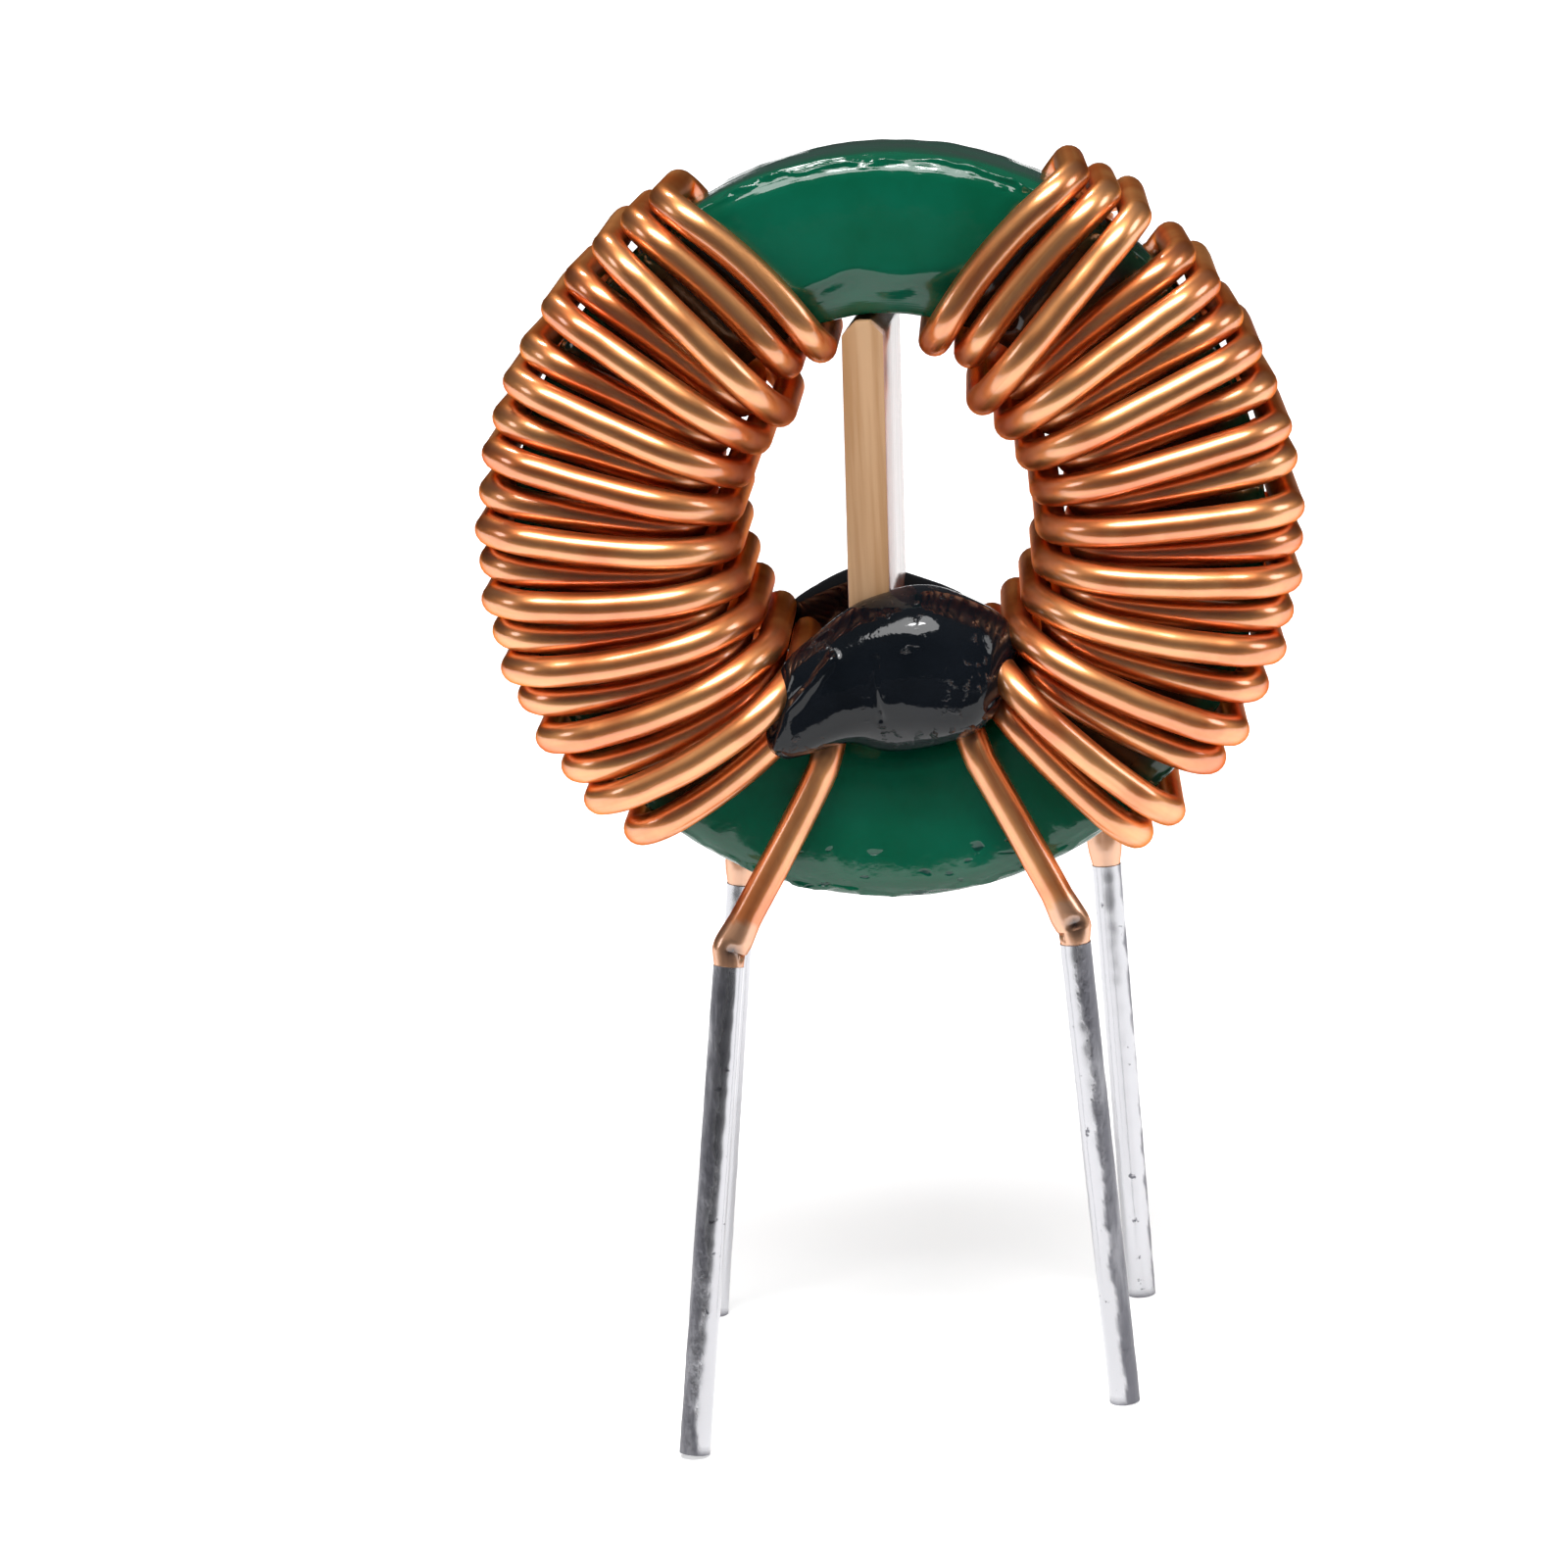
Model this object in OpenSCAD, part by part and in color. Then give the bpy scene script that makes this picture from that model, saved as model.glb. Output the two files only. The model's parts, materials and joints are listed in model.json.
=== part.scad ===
// Toroidal inductor: a coated ring core standing on edge, wound with two separate coils of thick wire.
// A divider board and a lump of glue sit in the bore, and the four wire ends run down as tinned legs.
// Lengths are in millimetres and angles in degrees. +Z is up and the leg tips stand at height zero.
// The ring's axis runs along Y, and the face with the front legs looks towards -Y.

/* [Core] */
// Outer diameter over the coating
core_od = 25.3; // [24.9:0.1:25.8]
// Thickness of the ring from the bore to the rim, over the coating
core_wall = 5.4; // [5.2:0.1:5.5]
// Height over the coating, along the ring's axis
core_h = 8.6; // [8.2:0.1:9.4]
// Thickness of the coating
coat_t = 0.25; // [0.15:0.05:0.4]
// Radius of the coating's edges
coat_edge_r = 0.9; // [0.8:0.05:1]
// Height of the ring's centre above the leg tips
core_z = 30.5; // [29:0.5:33]

/* [Wire] */
// Diameter of the enamelled wire
wire_d = 1.1; // [1:0.02:1.12]
// Diameter of the bare copper inside the enamel
bare_d = 0.96; // [0.9:0.02:0.98]
// Clear space between the wire and the coating
wire_slack = 0.12; // [0.06:0.02:0.16]
// Angle from the top to the first turn on the left coil's rim side
left_first_angle = 30.5; // [29:0.5:33]
// Angle from the top to the first turn on the right coil's rim side
right_first_angle = 30.5; // [29:0.5:33]
// Turns on each coil, or fewer where the bore has no room for them
coil_turns = 20; // [16:2:20]
// Clear space between the board and the first turn in the bore
first_turn_gap = 0.16; // [0.12:0.02:0.3]
// Extra free space in the bore before the upper layer starts
layer_gap = 0.8; // [0.7:0.02:0.9]
// Least clear space between the two coils at the bottom of the bore
coil_gap = 2.6; // [2:0.1:3]
// Free space between neighbouring turns of the upper layer in the bore, as a share of the wire
bore_gap_share = 0.13; // [0.1:0.01:0.14]
// Length of the slope where the enamel is scraped off
scrape_len = 0.5; // [0.3:0.1:0.8]

/* [Legs] */
// Height of the tinned stretch of each leg
tin_h = 16.4; // [14:0.2:17]
// Outer diameter of the tinned stretch
tin_d = 1.08; // [1.06:0.01:1.14]
// Clear space between the bare copper and the tin
tin_gap = 0.01; // [0.005:0.005:0.015]
// How far out to the left the front left tip stands
front_left_tip_out = 8.3; // [7.6:0.1:8.6]
// How far forward of the coil's front the front left tip stands
front_left_tip_fwd = 3.6; // [2:0.1:4]
// How far out to the left the front left leg's tinned top stands
front_left_top_out = 6.2; // [6:0.1:6.6]
// How far forward of the coil's front the front left leg's tinned top stands
front_left_top_fwd = 1; // [0.6:0.1:1.4]
// How far out to the right the front right tip stands
front_right_tip_out = 6.4; // [6:0.1:7]
// How far out to the right the front right leg's tinned top stands
front_right_top_out = 5.5; // [5.2:0.1:5.8]
// How far forward of the coil's front the front right leg stands
front_right_fwd = 0.2; // [0.1:0.1:0.6]
// How far out to the left the back left tip stands
back_left_tip_out = 8.5; // [8:0.1:8.8]
// How far out to the left the back left leg's tinned top stands
back_left_top_out = 6.4; // [6.2:0.1:6.8]
// How far out to the right the back right tip stands
back_right_tip_out = 7.4; // [7.1:0.1:8]
// How far out to the right the back right leg's tinned top stands
back_right_top_out = 6.9; // [6.6:0.1:7.2]

/* [Divider] */
// Thickness of the divider board
board_t = 1.4; // [1.2:0.1:1.6]
// How far the board's upright edges lie behind the core's faces
board_inset = 0.1; // [0.05:0.05:0.3]
// Clear space between the board's ends and the bore
board_gap = 0.1; // [0.06:0.02:0.16]
// Size of the slopes at the board's ends
board_slope = 0.45; // [0.3:0.05:0.55]
// Board's offset to the left of the ring's middle
board_off = 0.5; // [0.4:0.1:0.6]
// Lean of the board's top to the right
board_lean = 2; // [0:0.5:3]
// Turn of the board's back edge to the right
board_turn = 2.8; // [0:0.2:3]

/* [Glue] */
// Clear space between the glue and what it was poured round
glue_gap = 0.02; // [0.01:0.01:0.03]

/* [Hidden] */

// Overrun of every cut
cut = 0.5;
// Facets of a true round shape, a wire, a ball of glue and one rounded edge
$fn = 64;
wire_sides = 8;
ball_sides = 12;
edge_steps = 6;
lead_steps = 7;

// Free space on the rim after each turn from the top down, as a share of the wire diameter
left_gap_shares = [0.06, 0.08, 0.36, 0.06, 0.44, 0.06, 0.24, 0.06, 0.27, 0.06,
                   0.08, 0.08, 0.12, 0.08, 0.1, 0.3, 0.25, 0.18, 0.6];
right_gap_shares = [0.1, 0.08, 0.84, 0.08, 0.27, 0.06, 0.25, 0.25, 0.06, 0.4,
                    0.06, 0.08, 0.16, 0.08, 0.35, 0.42, 0.2, 0.97, 0.27];
// Share of the layer height that an upper turn stands off the core, from the rim to the edge of the bore
front_lift_shares = [0, 0.32, 0.6, 0.88, 1];
back_lift_shares = [0.12, 0.78, 1.15, 1.15, 1.05];
// Pull of a lead's two handles, as a share of its straight length, at the leg and at the core
front_pull_shares = [0.04, 0.3];
back_pull_shares = [0.3, 0.3];
// Swing of a lead where it leaves the core, as a share of the angle between two turns in the bore
front_swing_share = -0.45;
back_swing_share = 0.45;

// Balls of glue: place across, along and up from the ring's middle, then radius, as shares of the bore radius
dome_shares = [0.12, -0.56, -0.58, 0.33];
right_shoulder_shares = [0.4, -0.58, -0.52, 0.17];
lower_right_shares = [0.28, -0.71, -0.75, 0.18];
lower_left_shares = [-0.18, -0.69, -0.74, 0.2];
left_shoulder_shares = [-0.08, -0.6, -0.5, 0.2];
left_side_shares = [-0.31, -0.67, -0.66, 0.14];
tail_shares = [-0.52, -0.7, -0.88, 0.075];
middle_shares = [-0.05, 0, -0.8, 0.18];
middle_left_shares = [-0.36, 0, -0.78, 0.14];
middle_right_shares = [0.34, 0, -0.78, 0.14];
back_low_shares = [-0.12, 0.45, -0.8, 0.16];
heap_shares = [-0.15, 0.56, -0.6, 0.3];
heap_left_shares = [-0.42, 0.56, -0.62, 0.2];
heap_right_shares = [0.2, 0.56, -0.65, 0.22];
// Lumps of glue, each the smooth skin over some of the balls
glue_lumps = [
    [dome_shares, right_shoulder_shares, lower_right_shares],
    [dome_shares, lower_right_shares, lower_left_shares],
    [dome_shares, left_shoulder_shares, left_side_shares, lower_left_shares],
    [left_side_shares, tail_shares, lower_left_shares],
    [dome_shares, middle_shares],
    [left_side_shares, middle_left_shares, middle_shares],
    [right_shoulder_shares, middle_right_shares, middle_shares],
    [middle_left_shares, middle_shares, back_low_shares],
    [middle_right_shares, middle_shares, back_low_shares],
    [back_low_shares, heap_left_shares, heap_shares],
    [back_low_shares, heap_right_shares, heap_shares],
];

core_r = core_od / 2;
bore_r = core_r - core_wall;
half_h = core_h / 2;
wire_r = wire_d / 2;
bare_r = bare_d / 2;
tin_r = tin_d / 2;
// Height of a wire's middle off the coating in the lower layer, and how much higher the upper layer lies
base_rise = wire_r + wire_slack;
layer_rise = wire_d + wire_slack / 2;
rim_r = core_r + base_rise;
lower_r = bore_r - base_rise;
upper_r = lower_r - layer_rise;
inner_edge_r = bore_r + coat_edge_r;
outer_edge_r = core_r - coat_edge_r;
// Angle in the bore to the first turn, beside the board, and the extra angle before the upper layer
board_reach = board_off + board_t / 2 - lower_r * sin(board_lean) + (half_h - board_inset) * sin(board_turn);
first_bore_angle = asin((board_reach + first_turn_gap + wire_r) / lower_r);
layer_shift = layer_gap / upper_r * 180 / PI;
// Angle between two turns in the bore, where the layers alternate, and from the last turn to the lead
bore_step = asin((1 + bore_gap_share) * wire_r / upper_r);
lead_step = 2 * asin((1 + bore_gap_share) * wire_r / lower_r);
// Furthest that a front lead may come round in the bore, and the even number of turns that fit before it
last_lead_angle = 180 - asin((coil_gap + wire_d) / 2 / lower_r);
turn_room = last_lead_angle - lead_step - first_bore_angle - layer_shift;
turns = min(coil_turns, 2 * floor((turn_room / bore_step + 1) / 2));
// Angle at which the front lead enters the bore, one wire past the last turn
lead_angle = bore_angle(turns - 1) + lead_step;
// Middle of the lower layer's wires in front of the core, and of the upper layer's behind it
front_y = -half_h - base_rise;
back_y = half_h + base_rise + layer_rise;

function unit(v) = v / norm(v);
function clamp01(t) = max(0, min(1, t));
function run_sum(v, count) = count == 0 ? 0 : run_sum(v, count - 1) + v[count - 1];
function bezier(p, t) =
    pow(1 - t, 3) * p[0] + 3 * pow(1 - t, 2) * t * p[1] + 3 * (1 - t) * t * t * p[2] + pow(t, 3) * p[3];

// A point at a radius and an angle from the top, on the left (-1) or the right (1) of the ring
function ring_point(side, r, y, angle) = [side * r * sin(angle), y, core_z + r * cos(angle)];

// Angles of a turn on the rim and in the bore, counted from the top
function rim_angle(first, shares, slot) = first + (slot + run_sum(shares, slot)) * wire_d / rim_r * 180 / PI;
function bore_angle(slot) =
    first_bore_angle + (slot == 0 ? 0 : slot == 1 ? lead_step : layer_shift + bore_step * slot);

// A coil climbs in every other slot of the lower layer to the first one, and comes back down in the upper
function slot_of(pass) = pass < turns / 2 ? turns - 1 - 2 * pass : 2 * pass - turns;
function rise_of(pass) = pass <= turns / 2 ? 0 : layer_rise;

// Half a turn, from the rim over one face (-1 front, 1 back) and round to its own layer in the bore
function half_turn(side, face, at_rim, at_bore, rise, bore_rise, shares) = [
    for (k = [0:6])
        let (height = base_rise + (k < len(shares) ? rise * shares[k] : bore_rise))
        let (bend = 45 * min(k, 6 - k, 2))
        let (reach = coat_edge_r + height)
        let (r = k < 3 ? outer_edge_r + reach * cos(bend)
               : k > 3 ? inner_edge_r - reach * cos(bend)
               : (outer_edge_r + inner_edge_r) / 2)
        let (y = face * (half_h - coat_edge_r + reach * sin(bend)))
        let (inside_r = lower_r - bore_rise)
        let (share = clamp01((r - inside_r) / (rim_r - inside_r)))
        ring_point(side, r, y, at_bore + (at_rim - at_bore) * share)
];

function reversed(list) = [for (k = [len(list) - 1:-1:0]) list[k]];

// One whole pass: up from the bore over the back, across the rim, and over the front into the bore
function pass_points(side, first, shares, pass) =
    let (slot = slot_of(pass))
    let (at_rim = rim_angle(first, shares, slot))
    let (from_bore = pass == 0 ? lead_angle : bore_angle(slot_of(pass - 1)))
    let (rise = rise_of(pass))
    let (from_rise = pass == 0 ? 0 : rise_of(pass - 1))
    concat(
        reversed(half_turn(side, 1, at_rim, from_bore, rise, from_rise, back_lift_shares)),
        half_turn(side, -1, at_rim, bore_angle(slot), rise, rise, front_lift_shares)
    );

// A leg is its tip and its tinned top. The tip is cut square, so it is raised until its rim stands at zero
function leg(tip_x, tip_y, top_x, top_y) =
    let (lean = atan(norm([top_x - tip_x, top_y - tip_y]) / tin_h))
    [[tip_x, tip_y, tin_r * sin(lean)], [top_x, top_y, tin_h]];

front_left_leg = leg(-front_left_tip_out, front_y - front_left_tip_fwd,
                     -front_left_top_out, front_y - front_left_top_fwd);
front_right_leg = leg(front_right_tip_out, front_y - front_right_fwd,
                      front_right_top_out, front_y - front_right_fwd);
back_left_leg = leg(-back_left_tip_out, back_y, -back_left_top_out, back_y);
back_right_leg = leg(back_right_tip_out, back_y, back_right_top_out, back_y);

// Points with radii up a leg, bare to the tinned top
function leg_way(leg) = [
    [leg[0], bare_r],
    [leg[1], bare_r]
];

// The smooth lead from above a leg, where the scraped slope has reached the full enamel, to the face of
// the core beside the bore
function lead_way(leg, side, face, rise, angle, swing, pulls) =
    let (up = unit(leg[1] - leg[0]))
    let (start = leg[1] + up * scrape_len)
    let (y = face * (half_h + base_rise + rise))
    let (end = ring_point(side, inner_edge_r, y, angle))
    let (past = ring_point(side, rim_r, y, angle + swing * bore_step))
    let (span = norm(end - start))
    let (handles = [start, start + up * span * pulls[0], end + unit(past - end) * span * pulls[1], end])
    [for (k = [0:lead_steps]) [bezier(handles, k / lead_steps), wire_r]];

// The bend from a face into the bore at the end of a lead
function bore_bend(side, face, rise, angle) = [
    for (k = [1:2])
        let (reach = coat_edge_r + base_rise + rise)
        let (bend = 90 - 45 * k)
        let (y = face * (half_h - coat_edge_r + reach * sin(bend)))
        [ring_point(side, inner_edge_r - reach * cos(bend), y, angle), wire_r]
];

// A whole coil's wire from the tip of its front leg to the tip of its back leg
function coil_way(side, first, shares, front, back) = concat(
    leg_way(front),
    lead_way(front, side, -1, 0, lead_angle, front_swing_share, front_pull_shares),
    bore_bend(side, -1, 0, lead_angle),
    [for (pass = [0:turns - 1]) for (p = pass_points(side, first, shares, pass)) [p, wire_r]],
    reversed(bore_bend(side, 1, layer_rise, bore_angle(turns - 2))),
    reversed(lead_way(back, side, 1, layer_rise, bore_angle(turns - 2), back_swing_share, back_pull_shares)),
    reversed(leg_way(back))
);

left_way = coil_way(-1, left_first_angle, left_gap_shares, front_left_leg, back_left_leg);
right_way = coil_way(1, right_first_angle, right_gap_shares, front_right_leg, back_right_leg);

// A wire along a way of points with radii, made thicker all round by grow
module wire(way, grow) {
    last = len(way) - 1;
    points = [
        for (i = [0:last])
            let (p = way[i][0])
            let (along = unit(way[min(i + 1, last)][0] - way[max(i - 1, 0)][0]))
            let (around = [p.z - core_z, 0, -p.x])
            let (across = unit(around - (around * along) * along))
            let (up = cross(along, across))
            for (j = [0:wire_sides - 1])
                p + (way[i][1] + grow) * (cos(360 * j / wire_sides) * across + sin(360 * j / wire_sides) * up)
    ];
    skin = [
        for (i = [0:last - 1])
            for (j = [0:wire_sides - 1])
                let (a = i * wire_sides + j)
                let (b = i * wire_sides + (j + 1) % wire_sides)
                for (face = [[a, a + wire_sides, b], [b, a + wire_sides, b + wire_sides]])
                    face
    ];
    first_end = [for (j = [0:wire_sides - 1]) j];
    last_end = [for (j = [0:wire_sides - 1]) (last + 1) * wire_sides - 1 - j];
    polyhedron(points, concat([first_end], skin, [last_end]), convexity = 10);
}

// A ring about the Y axis with rounded edges, grown all round by grow
module ring(grow) {
    edge_r = coat_edge_r + grow;
    corners = [
        [outer_edge_r, half_h - coat_edge_r, 0],
        [inner_edge_r, half_h - coat_edge_r, 90],
        [inner_edge_r, coat_edge_r - half_h, 180],
        [outer_edge_r, coat_edge_r - half_h, 270],
    ];
    section = [
        for (corner = corners)
            for (k = [0:edge_steps])
                let (angle = corner[2] + 90 * k / edge_steps)
                [corner[0] + edge_r * cos(angle), corner[1] + edge_r * sin(angle)]
    ];
    translate([0, 0, core_z])
        rotate([90, 0, 0])
            rotate_extrude()
                polygon(section);
}

// The board's upright shape with its ends sloped to a ridge, grown all round by grow
module board(grow) {
    half_t = board_t / 2 + grow;
    half_l = bore_r - board_gap + grow;
    shoulder = half_l - board_slope;
    outline = [
        [-half_t, -shoulder],
        [-half_t + board_slope, -half_l],
        [half_t - board_slope, -half_l],
        [half_t, -shoulder],
        [half_t, shoulder],
        [half_t - board_slope, half_l],
        [-half_t + board_slope, half_l],
        [-half_t, shoulder],
    ];
    translate([-board_off, 0, core_z])
        rotate([90, board_lean, -board_turn])
            linear_extrude(core_h - 2 * board_inset + 2 * grow, center = true)
                polygon(outline);
}

// A thin tin skin round the bare end of a leg
module tin(leg) {
    run = leg[1] - leg[0];
    long = norm(run);
    translate(leg[0])
        rotate([0, acos(run.z / long), atan2(run.y, run.x)])
            difference() {
                cylinder(h = long, r = tin_r);
                translate([0, 0, -cut])
                    cylinder(h = long + 2 * cut, r = bare_r + tin_gap);
            }
}

module ferrite_core() {
    color([0.16, 0.16, 0.17]) ring(-coat_t);
}

module epoxy_coating() {
    color([0.02, 0.3, 0.24])
        difference() {
            ring(0);
            ring(-coat_t);
        }
}

module left_winding() {
    color([0.66, 0.3, 0.12]) wire(left_way, 0);
}

module right_winding() {
    color([0.66, 0.3, 0.12]) wire(right_way, 0);
}

module divider_board() {
    color([0.78, 0.6, 0.44]) board(0);
}

module glue_ball(shares) {
    translate([shares[0] * bore_r, shares[1] * bore_r, core_z + shares[2] * bore_r])
        sphere(r = shares[3] * bore_r, $fn = ball_sides);
}

module epoxy_glue() {
    color([0.05, 0.05, 0.05])
        difference() {
            union() {
                for (lump = glue_lumps)
                    hull()
                        for (shares = lump)
                            glue_ball(shares);
            }
            ring(glue_gap);
            board(glue_gap);
            wire(left_way, glue_gap);
            wire(right_way, glue_gap);
        }
}

module tin_front_left() {
    color([0.8, 0.8, 0.8]) tin(front_left_leg);
}

module tin_front_right() {
    color([0.8, 0.8, 0.8]) tin(front_right_leg);
}

module tin_back_left() {
    color([0.8, 0.8, 0.8]) tin(back_left_leg);
}

module tin_back_right() {
    color([0.8, 0.8, 0.8]) tin(back_right_leg);
}

ferrite_core();
epoxy_coating();
left_winding();
right_winding();
divider_board();
epoxy_glue();
tin_front_left();
tin_front_right();
tin_back_left();
tin_back_right();
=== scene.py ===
# %% [markdown]
# # Dressing a toroidal inductor
#
# The part is a ring core about 25 mm across, standing on four wire legs. Its solids come from the CAD
# model and fix every size. This lesson gives them the looks of the real thing: lacquered copper wire,
# glossy green coating, black glue, a fibreboard divider and tinned legs.
# Blender works in metres here, and the part is tiny, so sizes are written in millimetres and scaled.

# %% Load the frame
import json
import math

import bpy
from mathutils import Matrix, Vector, noise


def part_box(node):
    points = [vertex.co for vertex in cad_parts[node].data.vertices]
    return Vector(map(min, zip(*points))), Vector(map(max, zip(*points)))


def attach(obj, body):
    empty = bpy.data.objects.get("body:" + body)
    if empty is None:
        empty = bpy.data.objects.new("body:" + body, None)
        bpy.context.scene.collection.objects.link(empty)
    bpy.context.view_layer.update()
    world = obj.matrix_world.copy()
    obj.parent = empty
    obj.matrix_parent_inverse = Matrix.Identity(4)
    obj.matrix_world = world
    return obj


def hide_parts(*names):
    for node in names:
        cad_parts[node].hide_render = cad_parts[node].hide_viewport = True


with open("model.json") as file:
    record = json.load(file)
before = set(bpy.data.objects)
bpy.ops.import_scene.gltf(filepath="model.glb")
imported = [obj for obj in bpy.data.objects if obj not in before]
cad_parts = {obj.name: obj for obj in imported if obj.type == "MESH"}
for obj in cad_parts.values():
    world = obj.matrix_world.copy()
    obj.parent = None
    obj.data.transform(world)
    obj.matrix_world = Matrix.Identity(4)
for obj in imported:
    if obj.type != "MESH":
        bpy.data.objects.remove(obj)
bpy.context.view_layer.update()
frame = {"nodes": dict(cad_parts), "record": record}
MM = 0.001
scene = bpy.context.scene

# %% [markdown]
# ## Camera
#
# The photograph was taken from a little above, slightly from the right, with the camera tilted a few
# degrees. Where the lens stood was worked out from the ring's two outlines and the four leg tips, so the
# camera is placed by its position, its heading, its dip and its tilt, and nothing is framed by eye.

# %% Place the camera
IMAGE_PX = 1600
FOCAL_PX = 4402
CAMERA_AT = Vector((3.9, -146.8, 52.25)) * MM
HEADING = math.radians(-3.184)
DIP = math.radians(-11.886)
TILT = math.radians(-3.75)

camera_data = bpy.data.cameras.new("camera")
camera_data.sensor_width = 36
camera_data.lens = FOCAL_PX / IMAGE_PX * camera_data.sensor_width
camera_data.clip_start = 5 * MM
camera = bpy.data.objects.new("camera", camera_data)
scene.collection.objects.link(camera)
aim = Matrix.Rotation(-HEADING, 4, "Z") @ Matrix.Rotation(math.pi / 2 + DIP, 4, "X")
camera.matrix_world = Matrix.Translation(CAMERA_AT) @ aim @ Matrix.Rotation(TILT, 4, "Z")
scene.camera = camera
print("lens in mm:", round(camera_data.lens, 1))

# %% [markdown]
# ## Studio
#
# Shiny wire shows its surroundings more than its own colour. A white floor gives the pale underside of
# each turn, a wide lamp above the camera gives the cream highlight, and the dim room gives the brown line
# between them. A narrow bright lamp in front of the wide one adds crisp glints to paint and glue.
# The camera and the shiny surfaces see the floor a little brighter than the lamps alone make it, most of
# all far away, where the lamps hardly reach. That turns it white and still keeps the part's shadow. A dark
# card lies in front of the part, as a studio photographer lays one, so that the glossy front faces show
# their own colour and not the white floor.

# %% Set the view and the world
scene.view_settings.view_transform = "Standard"
ROOM_OVERHEAD = (0.14, 0.14, 0.145, 1)
ROOM_LOW_DOWN = (0.055, 0.055, 0.06, 1)
BRIGHT_WAY = (0, 0, 1)
DIM_UP_TO = 0.45
BRIGHT_FROM = 0.9

world = bpy.data.worlds.new("studio_room")
world.use_nodes = True
scene.world = world
room = world.node_tree
direction = room.nodes.new("ShaderNodeTexCoord")
toward = room.nodes.new("ShaderNodeVectorMath")
toward.operation = "DOT_PRODUCT"
toward.inputs[1].default_value = BRIGHT_WAY
low_to_high = room.nodes.new("ShaderNodeMapRange")
low_to_high.inputs["From Min"].default_value = DIM_UP_TO
low_to_high.inputs["From Max"].default_value = BRIGHT_FROM
room_colour = room.nodes.new("ShaderNodeMix")
room_colour.data_type = "RGBA"
room_colour.inputs["A"].default_value = ROOM_LOW_DOWN
room_colour.inputs["B"].default_value = ROOM_OVERHEAD
room.links.new(direction.outputs["Generated"], toward.inputs[0])
room.links.new(toward.outputs["Value"], low_to_high.inputs["Value"])
room.links.new(low_to_high.outputs["Result"], room_colour.inputs["Factor"])
room.links.new(room_colour.outputs["Result"], room.nodes["Background"].inputs["Color"])
print("world:", world.name)

# %% Lay the floor
FLOOR_SIZE = 6
FLOOR_COLOUR = (0.8, 0.8, 0.8, 1)
MATT = 0.9

bpy.ops.object.select_all(action="DESELECT")
bpy.ops.mesh.primitive_plane_add(size=FLOOR_SIZE, location=(0, 0, 0))
floor = bpy.context.object
floor.name = "floor"
floor_finish = bpy.data.materials.new("white_floor")
floor_finish.use_nodes = True
floor_tree = floor_finish.node_tree
floor_shader = floor_tree.nodes["Principled BSDF"]
floor_shader.inputs["Base Color"].default_value = FLOOR_COLOUR
floor_shader.inputs["Roughness"].default_value = MATT
floor.data.materials.append(floor_finish)
print("floor:", FLOOR_SIZE, "m wide")

# %% Lift the floor to white for the camera and for reflections
NEAR_LIFT = 0.54
FAR_LIFT = 0.95
LIFT_FROM = 0.3
LIFT_TO = 1.5

floor_shader.inputs["Emission Color"].default_value = (1, 1, 1, 1)
rays = floor_tree.nodes.new("ShaderNodeLightPath")
mirrored = floor_tree.nodes.new("ShaderNodeMath")
mirrored.operation = "MAXIMUM"
seen = floor_tree.nodes.new("ShaderNodeMath")
seen.operation = "MAXIMUM"
floor_place = floor_tree.nodes.new("ShaderNodeTexCoord")
far_off = floor_tree.nodes.new("ShaderNodeVectorMath")
far_off.operation = "LENGTH"
lift_there = floor_tree.nodes.new("ShaderNodeMapRange")
lift_there.inputs["From Min"].default_value = LIFT_FROM
lift_there.inputs["From Max"].default_value = LIFT_TO
lift_there.inputs["To Min"].default_value = NEAR_LIFT
lift_there.inputs["To Max"].default_value = FAR_LIFT
lift = floor_tree.nodes.new("ShaderNodeMath")
lift.operation = "MULTIPLY"
floor_tree.links.new(rays.outputs["Is Glossy Ray"], mirrored.inputs[0])
floor_tree.links.new(rays.outputs["Is Transmission Ray"], mirrored.inputs[1])
floor_tree.links.new(rays.outputs["Is Camera Ray"], seen.inputs[0])
floor_tree.links.new(mirrored.outputs[0], seen.inputs[1])
floor_tree.links.new(floor_place.outputs["Object"], far_off.inputs[0])
floor_tree.links.new(far_off.outputs["Value"], lift_there.inputs["Value"])
floor_tree.links.new(seen.outputs[0], lift.inputs[0])
floor_tree.links.new(lift_there.outputs["Result"], lift.inputs[1])
floor_tree.links.new(lift.outputs[0], floor_shader.inputs["Emission Strength"])
print("floor lifted by", NEAR_LIFT, "near the part and by", FAR_LIFT, "far away")

# %% Hang the soft boxes
RING_MIDDLE = Vector((0, 0, 30)) * MM


def soft_box(name, place_mm, wide_mm, deep_mm, watts):
    """A lamp with an oval face that looks at the middle of the ring."""
    data = bpy.data.lights.new(name, "AREA")
    data.shape = "ELLIPSE"
    data.size = wide_mm * MM
    data.size_y = deep_mm * MM
    data.energy = watts
    lamp = bpy.data.objects.new(name, data)
    lamp.location = Vector(place_mm) * MM
    lamp.rotation_euler = (RING_MIDDLE - lamp.location).to_track_quat("-Z", "Y").to_euler()
    scene.collection.objects.link(lamp)
    return lamp


soft_box("key_box", (0, -1050, 1950), wide_mm=2000, deep_mm=1150, watts=42)
soft_box("glint_box", (0, -1000, 1900), wide_mm=700, deep_mm=160, watts=12)
soft_box("top_box", (-450, 1000, 2050), wide_mm=450, deep_mm=450, watts=11)
soft_box("left_box", (-1900, -500, 800), wide_mm=700, deep_mm=700, watts=4)
soft_box("right_box", (1900, -200, 900), wide_mm=900, deep_mm=900, watts=8)

# %% Lay a dark card in front
CARD_WIDE = 2400
CARD_DEEP = 2400
CARD_FROM = -50
CARD_UP = 0.5
CARD_GREY = (0.03, 0.03, 0.035, 1)

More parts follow.
